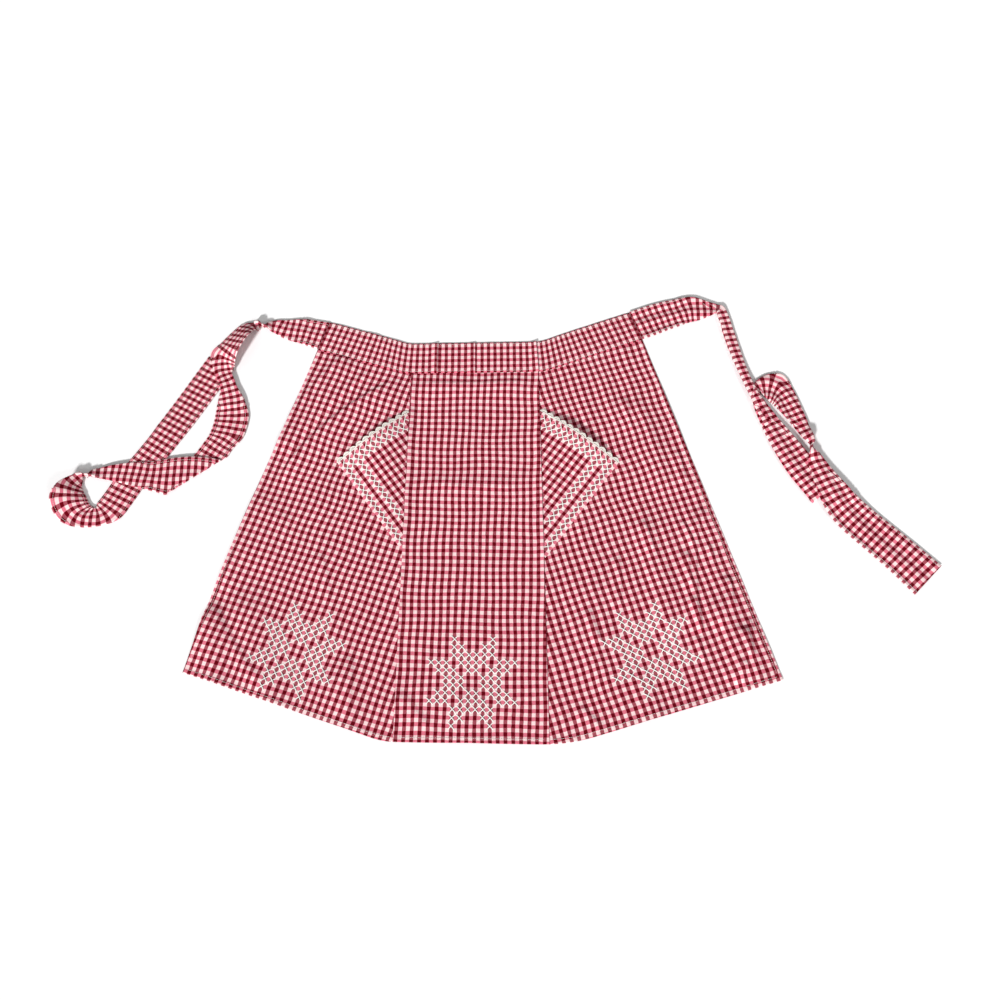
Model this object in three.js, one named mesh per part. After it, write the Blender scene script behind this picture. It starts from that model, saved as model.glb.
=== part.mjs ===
// A waist apron of checked cotton, laid flat with its right side up.
// Millimetres, +Z up. The surface it lies on is z = 0 and +Y runs up the apron, from the hem to the waistband.
// The origin is the middle of the waistband's underside.
import * as THREE from 'three';

// Cloth and clearances
const panel_cloth = 1.0;
const waistband_cloth = 2.4;
const tie_cloth = 1.6;
const pocket_cloth = 1.0;
const trim_cloth = 1.4;
const seam_gap = 0.3;
const layer_gap = 0.5;

// Waistband and skirt. The side panels are wider at the hem, and the cut turns up beside the centre panel.
const waistband_height = 52;
const skirt_length = 545;
const centre_top_width = 190;
const centre_hem_width = 200;
const left_top_width = 150;
const right_top_width = 166;
const left_hem_width = 296;
const right_hem_width = 315;
const waist_tilt = 1.4;
const left_waist_turn = 18;
const right_waist_turn = 19.5;
const waist_turn_length = 26;
const left_hem_turn = 17.6;
const right_hem_turn = 17.4;
const left_hem_turn_length = 36;
const right_hem_turn_length = 70;
const left_side_bow = 5.5;
const hem_shift = 12;
const hem_depth = 6;
const hem_rise = 0.7;
const tuck_rise = 0.7;
const tuck_width = 7;

// Pockets: triangles set into the panel seams, each given by its three sides
const pocket_drop = 66;
const left_pocket_seam_side = 218;
const left_pocket_mouth = 129;
const left_pocket_lower_side = 167;
const right_pocket_seam_side = 230;
const right_pocket_mouth = 140;
const right_pocket_lower_side = 180;
const pocket_gape = 9;
const trim_depth = 6.5;
const scallop_pitch = 12;

// Ties, laid out loosely. Their plans below are shares of these reaches from the ends of the waistband.
const left_tie_width = 50;
const right_tie_width = 56;
const left_tie_reach = 360;
const right_tie_reach = 370;

// Folds of the skirt as it lies
const fold_rise = 4;
const fold_width = 20;

// Steps of the meshes
const waistband_steps = [46, 3];
const side_panel_steps = [16, 24];
const centre_panel_steps = [10, 20];
const pocket_steps = [12, 11];
const scallop_steps = 6;
const tie_row_spacing = 17;
const tie_steps_across = 6;
const crease_steps = 4;

const radians = THREE.MathUtils.degToRad;
const mix = THREE.MathUtils.lerp;
const smoothstep = THREE.MathUtils.smoothstep;
const spread_out = (count) => Array.from({ length: count + 1 }, (_, i) => i / count);

// The line where the skirt meets the waistband, and the line of the hem. Each is straight across the centre
// panel and turns up smoothly beside it. The distance is measured along the line, positive to the right.
const waist_line = {
  middle: new THREE.Vector2(Math.sin(radians(waist_tilt)), -Math.cos(radians(waist_tilt)))
    .multiplyScalar(waistband_height / 2),
  tilt: waist_tilt,
  centre: centre_top_width,
  left: left_top_width,
  right: right_top_width,
  left_turn: left_waist_turn,
  right_turn: right_waist_turn,
  left_turn_length: waist_turn_length,
  right_turn_length: waist_turn_length,
};
const hem_line = {
  middle: new THREE.Vector2(hem_shift, waist_line.middle.y - skirt_length),
  tilt: 0,
  centre: centre_hem_width,
  left: left_hem_width,
  right: right_hem_width,
  left_turn: left_hem_turn,
  right_turn: right_hem_turn,
  left_turn_length: left_hem_turn_length,
  right_turn_length: right_hem_turn_length,
};

function heading_on(line, distance) {
  const edge = line.centre / 2;
  const [turn, length] = distance < 0
    ? [-line.left_turn, line.left_turn_length]
    : [line.right_turn, line.right_turn_length];
  return radians(line.tilt + turn * smoothstep(Math.abs(distance), edge - length / 3, edge + length));
}

function point_on(line, distance, away = 0) {
  const steps = 24;
  const point = line.middle.clone();
  for (let i = 0; i < steps; i += 1) {
    const heading = heading_on(line, distance * (i + 0.5) / steps);
    point.x += Math.cos(heading) * distance / steps;
    point.y += Math.sin(heading) * distance / steps;
  }
  const heading = heading_on(line, distance);
  return point.add(new THREE.Vector2(-Math.sin(heading), Math.cos(heading)).multiplyScalar(away));
}

// Where each panel starts and ends along a line, from left to right, with half a seam's gap at each seam
function panel_span(line, panel) {
  const half = line.centre / 2;
  const gap = seam_gap / 2;
  if (panel === 'left') return [-half - line.left, -half - gap];
  if (panel === 'right') return [half + gap, half + line.right];
  return [-half + gap, half - gap];
}

// A place on a panel: across from its left edge to its right edge, down from the waist seam to the hem.
// The free edge of the left panel bows outwards below its middle.
function place_on(panel, across, down) {
  const top = point_on(waist_line, mix(...panel_span(waist_line, panel), across));
  const hem = point_on(hem_line, mix(...panel_span(hem_line, panel), across));
  const bow = panel === 'left' ? left_side_bow * (1 - across) ** 2 * Math.sin(Math.PI * down ** 1.6) : 0;
  return top.lerp(hem, mix(seam_gap / skirt_length, 1, down)).sub(new THREE.Vector2(bow, 0));
}

// The folds of the skirt, each a ridge between two places on a panel, in shares of the panel.
// The rise and width are shares of the fold's named rise and width.
const folds = [
  { panel: 'left', from: [0.3, 0.03], to: [0.04, 0.3], rise: 1, width: 0.9 },
  { panel: 'left', from: [0.06, 0.52], to: [0.02, 0.72], rise: 0.7, width: 1.1 },
  { panel: 'left', from: [0.02, 0.86], to: [0.16, 1], rise: 1.1, width: 1 },
  { panel: 'left', from: [0.2, 0.8], to: [0.42, 1], rise: 0.8, width: 1.3 },
  { panel: 'left', from: [0.74, 0.9], to: [0.78, 1], rise: 0.6, width: 1.2 },
  { panel: 'centre', from: [0.05, 0.05], to: [0.95, 0.05], rise: 0.4, width: 0.8 },
  { panel: 'centre', from: [0.15, 0.34], to: [0.85, 0.34], rise: 0.3, width: 1 },
  { panel: 'centre', from: [0.45, 0.92], to: [0.47, 1], rise: 0.6, width: 1.4 },
  { panel: 'right', from: [0.74, 0.2], to: [0.8, 0.42], rise: 0.7, width: 1 },
  { panel: 'right', from: [0.62, 0.55], to: [0.6, 0.78], rise: 0.7, width: 1 },
  { panel: 'right', from: [0.24, 0.66], to: [0.2, 0.84], rise: 0.5, width: 1.2 },
  { panel: 'right', from: [0.86, 0.8], to: [0.9, 0.97], rise: 0.8, width: 1 },
  { panel: 'right', from: [0.4, 0.92], to: [0.42, 1], rise: 0.6, width: 1.3 },
].map((fold) => ({
  from: place_on(fold.panel, ...fold.from),
  to: place_on(fold.panel, ...fold.to),
  rise: fold.rise * fold_rise,
  width: fold.width * fold_width,
}));

function distance_to_segment(point, from, to) {
  const run = to.clone().sub(from);
  const share = THREE.MathUtils.clamp(point.clone().sub(from).dot(run) / run.lengthSq(), 0, 1);
  return point.distanceTo(from.clone().addScaledVector(run, share));
}

function fold_height(point) {
  return folds.reduce((height, fold) => {
    const away = distance_to_segment(point, fold.from, fold.to) / fold.width;
    return Math.max(height, fold.rise * Math.exp(-away * away));
  }, 0);
}

// A closed solid between an underside and an upper side, each a grid of points with as many rows and columns
function solid_between(under, upper) {
  const rows = under.length;
  const columns = under[0].length;
  const positions = [...under.flat(), ...upper.flat()].flatMap((point) => [point.x, point.y, point.z]);
  const low = (i, j) => i * columns + j;
  const high = (i, j) => rows * columns + low(i, j);
  const faces = [];
  const quad = (a, b, c, d) => faces.push(a, b, c, a, c, d);
  for (let i = 0; i + 1 < rows; i += 1) {
    for (let j = 0; j + 1 < columns; j += 1) {
      quad(high(i, j), high(i + 1, j), high(i + 1, j + 1), high(i, j + 1));
      quad(low(i, j), low(i, j + 1), low(i + 1, j + 1), low(i + 1, j));
    }
    quad(low(i, 0), low(i + 1, 0), high(i + 1, 0), high(i, 0));
    quad(low(i + 1, columns - 1), low(i, columns - 1), high(i, columns - 1), high(i + 1, columns - 1));
  }
  for (let j = 0; j + 1 < columns; j += 1) {
    quad(low(0, j + 1), low(0, j), high(0, j), high(0, j + 1));
    quad(low(rows - 1, j), low(rows - 1, j + 1), high(rows - 1, j + 1), high(rows - 1, j));
  }
  const geometry = new THREE.BufferGeometry();
  geometry.setAttribute('position', new THREE.Float32BufferAttribute(positions, 3));
  geometry.setIndex(faces);
  if (signed_volume(geometry) < 0) geometry.setIndex(faces.reverse());
  geometry.computeVertexNormals();
  return geometry;
}

function signed_volume(geometry) {
  const places = geometry.getAttribute('position');
  const index = geometry.getIndex();
  const corners = [new THREE.Vector3(), new THREE.Vector3(), new THREE.Vector3()];
  let volume = 0;
  for (let i = 0; i < index.count; i += 3) {
    corners.forEach((corner, k) => corner.fromBufferAttribute(places, index.getX(i + k)));
    volume += corners[0].dot(corners[1].clone().cross(corners[2])) / 6;
  }
  return volume;
}

const raised = (point, height) => new THREE.Vector3(point.x, point.y, height);

// Waistband: doubled cloth, flat underneath, with three small tucks across it
const tucks = [-0.24, 0, 0.38].map((share) => share * centre_top_width);

function waistband() {
  const [columns, rows] = waistband_steps;
  const half = centre_top_width / 2;
  const start = -half - left_top_width;
  const end = half + right_top_width;
  const under = [];
  const upper = [];
  for (const along of spread_out(columns)) {
    const distance = mix(start, end, along);
    const rise = tucks.reduce((most, tuck) => Math.max(most, Math.exp(-(((distance - tuck) / tuck_width) ** 2))), 0);
    const line = spread_out(rows).map((share) => point_on(waist_line, distance, share * waistband_height));
    under.push(line.map((point) => raised(point, 0)));
    upper.push(line.map((point) => raised(point, waistband_cloth + tuck_rise * rise)));
  }
  return solid_between(under, upper);
}

// Skirt panels: single cloth with a doubled hem along the lower edge
function skirt_panel(panel, [columns, rows]) {
  const hem_start = 1 - hem_depth / skirt_length;
  const downs = [...spread_out(rows).map((share) => share * hem_start), 1];
  const under = [];
  const upper = [];
  for (const across of spread_out(columns)) {
    const line = downs.map((down) => place_on(panel, across, down));
    const heights = line.map(fold_height);
    under.push(line.map((point, i) => raised(point, heights[i])));
    upper.push(line.map((point, i) => raised(
      point,
      heights[i] + panel_cloth + (i === downs.length - 1 ? hem_rise : 0),
    )));
  }
  return solid_between(under, upper);
}

// Pockets: the seam side lies on the panel seam, the mouth faces up and out, and the mouth gapes in the middle
const pocket_sizes = {
  left: { seam: left_pocket_seam_side, mouth: left_pocket_mouth, lower: left_pocket_lower_side },
  right: { seam: right_pocket_seam_side, mouth: right_pocket_mouth, lower: right_pocket_lower_side },
};

function pocket_corners(side) {
  const sizes = pocket_sizes[side];
  const across = side === 'left' ? 1 : 0;
  const top = place_on(side, across, pocket_drop / skirt_length);
  const bottom = place_on(side, across, (pocket_drop + sizes.seam) / skirt_length);
  const seam = bottom.clone().sub(top);
  const down_seam = (sizes.mouth ** 2 - sizes.lower ** 2 + seam.lengthSq()) / (2 * seam.length());
  const out = Math.sqrt(sizes.mouth ** 2 - down_seam ** 2);
  seam.normalize();
  const outward = new THREE.Vector2(-seam.y, seam.x).multiplyScalar(side === 'left' ? -1 : 1);
  const outer = top.clone().addScaledVector(seam, down_seam).addScaledVector(outward, out);
  return { top, outer, bottom };
}

// The height of the gape: full in the middle of the mouth, none at the sewn sides
function gape_at(along, inward) {
  return pocket_gape * Math.sin(Math.PI * along) ** 1.2 * (1 - inward) ** 2.2;
}

const pocket_floor = (point) => fold_height(point) + panel_cloth + seam_gap;

function pocket(side) {
  const { top, outer, bottom } = pocket_corners(side);
  const [columns, rows] = pocket_steps;
  const tip = 0.97;
  const under = [];
  const upper = [];
  for (const share of spread_out(rows)) {
    const inward = share ** 1.3 * tip;
    const from = top.clone().lerp(bottom, inward);
    const to = outer.clone().lerp(bottom, inward);
    const line = spread_out(columns).map((along) => from.clone().lerp(to, along));
    const heights = line.map((point, i) => pocket_floor(point) + gape_at(i / columns, inward));
    under.push(line.map((point, i) => raised(point, heights[i])));
    upper.push(line.map((point, i) => raised(point, heights[i] + pocket_cloth)));
  }
  return solid_between(under, upper);
}

// Trim: a row of scallops standing out from the pocket's mouth
function pocket_trim(side) {
  const { top, outer } = pocket_corners(side);
  const run = outer.clone().sub(top);
  const outward = new THREE.Vector2(run.y, -run.x).normalize().multiplyScalar(side === 'left' ? 1 : -1);
  const scallops = Math.round(run.length() / scallop_pitch);
  const columns = scallops * scallop_steps;
  const under = [];
  const upper = [];
  for (const along of spread_out(columns)) {
    const swell = Math.abs(Math.sin(Math.PI * along * scallops));
    const depth = trim_depth * mix(0.35, 1, swell ** 0.7);
    const edge = top.clone().addScaledVector(run, along);
    const line = [seam_gap, depth].map((away) => edge.clone().addScaledVector(outward, away));
    const height = pocket_floor(edge) + gape_at(along, 0);
    under.push(line.map((point) => raised(point, height)));
    upper.push(line.map((point) => raised(point, height + trim_cloth)));
  }
  return solid_between(under, upper);
}

// The ends of the waistband, and the direction down each end, where the ties are sewn on
const half_centre = centre_top_width / 2;
const left_end = -half_centre - left_top_width;
const right_end = half_centre + right_top_width;
const end_faces = (distance) => THREE.MathUtils.radToDeg(heading_on(waist_line, distance)) - 90;

// Ties: one row for each section, in the order in which a hand would follow the tie from the waistband.
// x and y place the middle of the section, as shares of the tie's reach from the waistband's end.
// faces is the direction in degrees from the section's first edge to its second, seen from above.
// spread is its width as a share of the tie's width, roll turns it over about its length, and layer counts
// the cloth under it. A new leg starts where the tie is folded flat on itself.
const left_tie_legs = [
  [
    { x: 0, y: 0, faces: end_faces(left_end), spread: 0.98, roll: 0, layer: 0 },
    { x: -0.09, y: 0.02, faces: -91, spread: 0.87, roll: 0, layer: 0 },
    { x: -0.16, y: 0.03, faces: -95, spread: 0.66, roll: 0, layer: 0 },
    { x: -0.22, y: 0.045, faces: -92, spread: 0.4, roll: 0, layer: 0 },
    { x: -0.265, y: 0.045, faces: -72, spread: 0.17, roll: 90, layer: 0 },
    { x: -0.305, y: 0.035, faces: -52, spread: 0.46, roll: 198, layer: 0.3 },
    { x: -0.34, y: -0.01, faces: -50, spread: 0.8, roll: 202, layer: 0.3 },
    { x: -0.38, y: -0.075, faces: -39, spread: 0.93, roll: 198, layer: 0.6 },
    { x: -0.41, y: -0.13, faces: -30, spread: 0.94, roll: 186, layer: 1 },
    { x: -0.405, y: -0.175, faces: -12, spread: 0.62, roll: 180, layer: 1 },
    { x: -0.375, y: -0.24, faces: 4, spread: 0.48, roll: 180, layer: 1 },
    { x: -0.35, y: -0.32, faces: 1, spread: 0.8, roll: 180, layer: 0.3 },
    { x: -0.34, y: -0.395, faces: -3, spread: 1, roll: 180, layer: 0 },
    { x: -0.35, y: -0.47, faces: -6, spread: 1, roll: 180, layer: 0 },
    { x: -0.385, y: -0.535, faces: -2, spread: 0.96, roll: 180, layer: 0 },
    { x: -0.45, y: -0.655, faces: 37, spread: 1.6, roll: 180, layer: 0 },
  ],
  [
    { x: -0.45, y: -0.655, faces: 37, spread: 1.6, roll: 180, layer: 1 },
    { x: -0.62, y: -0.663, faces: 98, spread: 0.95, roll: 180, layer: 1 },
    { x: -0.71, y: -0.656, faces: 103, spread: 0.74, roll: 180, layer: 1 },
    { x: -0.79, y: -0.652, faces: 106, spread: 0.5, roll: 180, layer: 0.9 },
    { x: -0.852, y: -0.655, faces: 110, spread: 0.3, roll: 168, layer: 0.4 },
    { x: -0.895, y: -0.662, faces: 125, spread: 0.18, roll: 90, layer: 0 },
    { x: -0.915, y: -0.68, faces: 150, spread: 0.34, roll: 28, layer: 0 },
    { x: -0.932, y: -0.72, faces: 175, spread: 0.7, roll: 26, layer: 0 },
    { x: -0.926, y: -0.78, faces: 187, spread: 1.02, roll: 16, layer: 0 },
    { x: -0.9, y: -0.825, faces: 206, spread: 0.98, roll: 6, layer: 0 },
    { x: -0.855, y: -0.842, faces: 240, spread: 0.68, roll: 0, layer: 0 },
    { x: -0.815, y: -0.84, faces: 288, spread: 0.56, roll: 0, layer: 0 },
    { x: -0.788, y: -0.828, faces: 317, spread: 0.7, roll: 0, layer: 0 },
    { x: -0.77, y: -0.808, faces: 330, spread: 0.86, roll: 0, layer: 0 },
    { x: -0.712, y: -0.69, faces: 336, spread: 0.88, roll: 0, layer: 0 },
    { x: -0.612, y: -0.515, faces: 339, spread: 0.88, roll: 0, layer: 0 },
    { x: -0.522, y: -0.345, faces: 339, spread: 0.92, roll: 0, layer: 0 },
    { x: -0.452, y: -0.205, faces: 335, spread: 0.92, roll: 0, layer: 0 },
    { x: -0.418, y: -0.137, faces: 331, spread: 0.92, roll: 0, layer: 0 },
  ],
];
const right_tie_legs = [
  [
    { x: 0, y: 0, faces: end_faces(right_end), spread: 0.92, roll: 0, layer: 0 },
    { x: 0.092, y: 0.036, faces: -87, spread: 0.96, roll: 0, layer: 0 },
    { x: 0.157, y: 0.058, faces: -93, spread: 0.92, roll: 0, layer: 0 },
    { x: 0.242, y: 0.08, faces: -94, spread: 0.76, roll: 0, layer: 0 },
    { x: 0.297, y: 0.08, faces: -97, spread: 0.5, roll: 0, layer: 0 },
    { x: 0.344, y: 0.076, faces: -132, spread: 0.3, roll: 0, layer: 0.3 },
    { x: 0.359, y: 0.036, faces: -167, spread: 0.28, roll: 0, layer: 0.2 },
    { x: 0.379, y: -0.061, faces: -174, spread: 0.31, roll: 0, layer: 0 },
    { x: 0.401, y: -0.154, faces: -174, spread: 0.28, roll: 0, layer: 0 },
    { x: 0.427, y: -0.249, faces: -172, spread: 0.24, roll: 0, layer: 0.6 },
    { x: 0.451, y: -0.319, faces: -160, spread: 0.24, roll: 0, layer: 1 },
    { x: 0.481, y: -0.39, faces: -150, spread: 0.4, roll: 0, layer: 1 },
    { x: 0.519, y: -0.475, faces: -149, spread: 0.56, roll: 0, layer: 1 },
    { x: 0.556, y: -0.547, faces: -147, spread: 0.68, roll: 0, layer: 1 },
    { x: 0.605, y: -0.636, faces: -144, spread: 0.76, roll: 0, layer: 1 },
    { x: 0.677, y: -0.749, faces: -142, spread: 0.74, roll: 0, layer: 1 },
  ],
  [
    { x: 0.677, y: -0.749, faces: -142, spread: 0.74, roll: 0, layer: 0 },
    { x: 0.57, y: -0.58, faces: -145, spread: 0.56, roll: 0, layer: 0 },
    { x: 0.49, y: -0.424, faces: -150, spread: 0.28, roll: 0, layer: 0 },
    { x: 0.459, y: -0.339, faces: -170, spread: 0.2, roll: 0, layer: 0 },
    { x: 0.46, y: -0.303, faces: -215, spread: 0.18, roll: 0, layer: 0 },
    { x: 0.475, y: -0.285, faces: -258, spread: 0.4, roll: 0, layer: 0 },
    { x: 0.503, y: -0.28, faces: -277, spread: 0.7, roll: 0, layer: 0 },
    { x: 0.548, y: -0.294, faces: -291, spread: 0.95, roll: 0, layer: 0 },
    { x: 0.583, y: -0.352, faces: -300, spread: 0.78, roll: 0, layer: 0.1 },
    { x: 0.612, y: -0.421, faces: -311, spread: 0.54, roll: 0, layer: 0.4 },
    { x: 0.636, y: -0.487, faces: -325, spread: 0.33, roll: 0, layer: 0.9 },
    { x: 0.652, y: -0.55, faces: -338, spread: 0.2, roll: 90, layer: 1.6 },
    { x: 0.665, y: -0.612, faces: -352, spread: 0.42, roll: 180, layer: 2.2 },
    { x: 0.686, y: -0.668, faces: -350, spread: 0.58, roll: 180, layer: 2.2 },
    { x: 0.709, y: -0.723, faces: -345, spread: 0.74, roll: 180, layer: 1.9 },
    { x: 0.737, y: -0.78, faces: -338, spread: 0.88, roll: 180, layer: 1.3 },
    { x: 0.786, y: -0.843, faces: -329, spread: 0.97, roll: 180, layer: 0.3 },
    { x: 0.85, y: -0.907, faces: -324, spread: 0.98, roll: 180, layer: 0 },
    { x: 0.941, y: -0.998, faces: -320, spread: 1, roll: 180, layer: 0 },
    { x: 1.021, y: -1.087, faces: -315, spread: 1.05, roll: 180, layer: 0 },
  ],
];

// Values between the rows of a table, by smooth curves that never swing past the rows
function smooth_rows(rows, spacing, scale) {
  const columns = Object.keys(rows[0]);
  const marks = [0];
  for (let i = 1; i < rows.length; i += 1) {
    const step = Math.hypot(rows[i].x - rows[i - 1].x, rows[i].y - rows[i - 1].y);
    marks.push(marks[i - 1] + Math.max(step, spacing / scale / 2));
  }
  const slopes = {};
  for (const name of columns) {
    const rates = marks.slice(1).map((mark, i) => (rows[i + 1][name] - rows[i][name]) / (mark - marks[i]));
    slopes[name] = rows.map((_, i) => {
      if (i === 0) return rates[0];
      if (i === rows.length - 1) return rates[i - 1];
      const [before, after] = [rates[i - 1], rates[i]];
      return before * after <= 0 ? 0 : (2 * before * after) / (before + after);
    });
  }
  const sections = [];
  for (let i = 1; i < rows.length; i += 1) {
    const length = marks[i] - marks[i - 1];
    const steps = Math.max(1, Math.round(length * scale / spacing));
    for (let k = i === 1 ? 0 : 1; k <= steps; k += 1) {
      const t = k / steps;
      const section = {};
      for (const name of columns) {
        section[name] = (1 + 2 * t) * (1 - t) ** 2 * rows[i - 1][name]
          + t * (1 - t) ** 2 * length * slopes[name][i - 1]
          + t * t * (3 - 2 * t) * rows[i][name]
          - t * t * (1 - t) * length * slopes[name][i];
      }
      sections.push(section);
    }
  }
  return sections;
}

// The middle surface of a tie at one section: edge to edge, rippled lengthwise where it is gathered narrow
function tie_section(section, tie, bulge = 0) {
  const width = section.spread * tie.width;
  const waves = 1.5;
  const wave_radius = width / waves / (2 * Math.PI);
  const gathered = Math.max(0, 0.86 - section.spread);
  const ripple = Math.min(0.18 * tie.width * gathered, 0.8 * wave_radius ** 2 / (tie_cloth / 2));
  const roll = radians(section.roll);
  const faces = radians(section.faces);
  const side = Math.abs(Math.sin(roll));
  const across = new THREE.Vector3(
    Math.cos(faces) * Math.cos(roll),
    Math.sin(faces) * Math.cos(roll),
    Math.sin(roll),
  );
  const middle = new THREE.Vector3(
    tie.start.x + section.x * tie.reach,
    tie.start.y + section.y * tie.reach,
    tie_cloth / 2 + section.layer * (tie_cloth + layer_gap) + ripple * (1 - side) + (width / 2) * side + bulge,
  );
  return spread_out(tie_steps_across).map((share) => {
    const lift = ripple * (1 - side) * Math.sin(2 * Math.PI * waves * share);
    return middle.clone().addScaledVector(across, (share - 0.5) * width).add(new THREE.Vector3(0, 0, lift));
  });
}

// The turn of a flat fold, from the last section of one leg to the first of the next
function crease(before, after, tie) {
  const low = tie_section(before, tie);
  const high = tie_section(after, tie);
  const inside = tie_section(before.previous, tie)[tie_steps_across / 2];
  const edge = low[tie_steps_across].clone().sub(low[0]);
  const outward = new THREE.Vector3(edge.y, -edge.x, 0).normalize();
  if (outward.dot(inside.clone().sub(low[tie_steps_across / 2])) > 0) outward.negate();
  const radius = (tie_cloth + layer_gap) / 2;
  return spread_out(crease_steps).slice(1, -1).map((share) => low.map((point, j) => point.clone()
    .lerp(high[j], (1 - Math.cos(Math.PI * share)) / 2)
    .addScaledVector(outward, radius * Math.sin(Math.PI * share))));
}

function tie_surface(tie) {
  const grid = [];
  let last = null;
  for (const leg of tie.legs) {
    const sections = smooth_rows(leg, tie_row_spacing, tie.reach);
    if (last) grid.push(...crease(last, sections[0], tie));
    sections.forEach((section) => grid.push(tie_section(section, tie)));
    last = { ...sections[sections.length - 1], previous: sections[sections.length - 2] };
  }
  return grid;
}

// The middle surface is thickened along its own normals, half the cloth to each side
function tie_solid(tie) {
  const grid = tie_surface(tie);
  const rows = grid.length;
  const columns = grid[0].length;
  const normals = grid.map((line, i) => line.map((_, j) => {
    const along = grid[Math.min(i + 1, rows - 1)][j].clone().sub(grid[Math.max(i - 1, 0)][j]);
    const across = grid[i][Math.min(j + 1, columns - 1)].clone().sub(grid[i][Math.max(j - 1, 0)]);
    return along.cross(across).normalize();
  }));
  const offset = (half) => grid.map((line, i) => line.map((point, j) => point.clone()
    .addScaledVector(normals[i][j], half)));
  return solid_between(offset(-tie_cloth / 2), offset(tie_cloth / 2));
}

// Each tie starts in the middle of the waistband's end, clear of it by a seam's gap
function tie_start(distance, outward) {
  return point_on(waist_line, distance + outward * seam_gap, waistband_height / 2);
}

const left_tie = {
  start: tie_start(left_end, -1),
  reach: left_tie_reach,
  width: left_tie_width,
  legs: left_tie_legs,
};
const right_tie = {
  start: tie_start(right_end, 1),
  reach: right_tie_reach,
  width: right_tie_width,
  legs: right_tie_legs,
};

const gingham = new THREE.MeshStandardMaterial({ color: 0xd2455f, roughness: 0.9, metalness: 0 });
const gingham_on_the_turn = new THREE.MeshStandardMaterial({ color: 0xc73c58, roughness: 0.9, metalness: 0 });
const white_trim = new THREE.MeshStandardMaterial({ color: 0xf2ede4, roughness: 0.85, metalness: 0 });

function piece(name, geometry, material) {
  const mesh = new THREE.Mesh(geometry, material);
  mesh.name = name;
  return mesh;
}

const apron = new THREE.Group();
apron.add(
  piece('waistband', waistband(), gingham),
  piece('centre_panel', skirt_panel('centre', centre_panel_steps), gingham),
);
for (const side of ['left', 'right']) {
  apron.add(
    piece(`${side}_side_panel`, skirt_panel(side, side_panel_steps), gingham),
    piece(`${side}_pocket`, pocket(side), gingham),
    piece(`${side}_pocket_trim`, pocket_trim(side), white_trim),
    piece(`${side}_tie`, tie_solid(side === 'left' ? left_tie : right_tie), gingham_on_the_turn),
  );
}

export default apron;
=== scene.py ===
# A waist apron of checked cotton with white thread crosses, laid flat on a pale floor.
# Metres, +Z up, the floor at z = 0, +Y up the apron. The origin is the middle of the waistband's underside.
import math
import bpy
import numpy as np
from mathutils import Matrix, Vector


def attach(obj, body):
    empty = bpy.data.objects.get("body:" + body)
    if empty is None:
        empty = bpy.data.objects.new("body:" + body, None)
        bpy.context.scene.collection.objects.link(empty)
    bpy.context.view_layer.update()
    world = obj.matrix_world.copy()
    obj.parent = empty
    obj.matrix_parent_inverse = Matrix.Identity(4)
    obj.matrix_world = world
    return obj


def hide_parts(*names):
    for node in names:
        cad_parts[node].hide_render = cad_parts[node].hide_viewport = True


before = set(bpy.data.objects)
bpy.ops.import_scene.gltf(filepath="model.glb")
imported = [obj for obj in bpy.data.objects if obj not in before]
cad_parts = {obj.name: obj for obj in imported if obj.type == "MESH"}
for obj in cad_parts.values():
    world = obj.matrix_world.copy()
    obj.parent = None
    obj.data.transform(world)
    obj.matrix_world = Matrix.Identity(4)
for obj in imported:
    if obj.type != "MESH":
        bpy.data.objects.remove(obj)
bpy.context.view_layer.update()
mm = 0.001
rng = np.random.default_rng(12)

# Cloth, seams and skirt, as in the solid model
tie_cloth = 1.6 * mm
seam_gap = 0.3 * mm
layer_gap = 0.5 * mm
waistband_height = 52 * mm
skirt_length = 545 * mm
fold_rise = 4 * mm
fold_width = 20 * mm
waist_tilt = 1.4
hem_shift = 12 * mm
left_side_bow = 5.5 * mm

# Thickness of the cloth, finer than in the solids
panel_sheet = 0.8 * mm
pocket_sheet = 0.75 * mm
tie_sheet = 0.7 * mm
pocket_lift = 0.15 * mm

# Edges folded over, in millimetres: the extra thickness, and how far from the edge it begins and ends to fade
hem_fold = (0.55, 6.8, 7.6)
side_fold = (0.45, 5.8, 6.6)
seam_fold = (0.35, 8, 9)
pocket_mouth_fold = (0.45, 6, 7)
pocket_side_fold = (0.25, 5, 6)
tie_fold = (0.5, 4.8, 5.4)

# One check of the cloth: a coloured and a white stripe, across the panel and along it
check_across = 10.0 * mm
check_along = 10.4 * mm
band_check = 9.7 * mm


def mix(a, b, share):
    return a + (b - a) * share


def smoothstep(value, low, high):
    t = np.clip((value - low) / (high - low), 0, 1)
    return t * t * (3 - 2 * t)


# The waist seam and the hem, each straight across the centre panel and turning up beside it
waist_middle = np.array([math.sin(math.radians(waist_tilt)), -math.cos(math.radians(waist_tilt))])
waist_middle = waist_middle * waistband_height / 2
waist_line = {
    "middle": waist_middle, "tilt": waist_tilt, "centre": 190 * mm, "left": 150 * mm, "right": 166 * mm,
    "left_turn": 18, "right_turn": 19.5, "left_turn_length": 26 * mm, "right_turn_length": 26 * mm,
}
hem_line = {
    "middle": np.array([hem_shift, waist_middle[1] - skirt_length]), "tilt": 0, "centre": 200 * mm,
    "left": 296 * mm, "right": 315 * mm, "left_turn": 17.6, "right_turn": 17.4,
    "left_turn_length": 36 * mm, "right_turn_length": 70 * mm,
}


def heading_on(line, distance):
    edge = line["centre"] / 2
    away = np.abs(distance)
    turns = []
    for side, sign in (("left", -1), ("right", 1)):
        length = line[side + "_turn_length"]
        turns.append(sign * line[side + "_turn"] * smoothstep(away, edge - length / 3, edge + length))
    return np.radians(line["tilt"] + np.where(distance < 0, turns[0], turns[1]))


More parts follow.
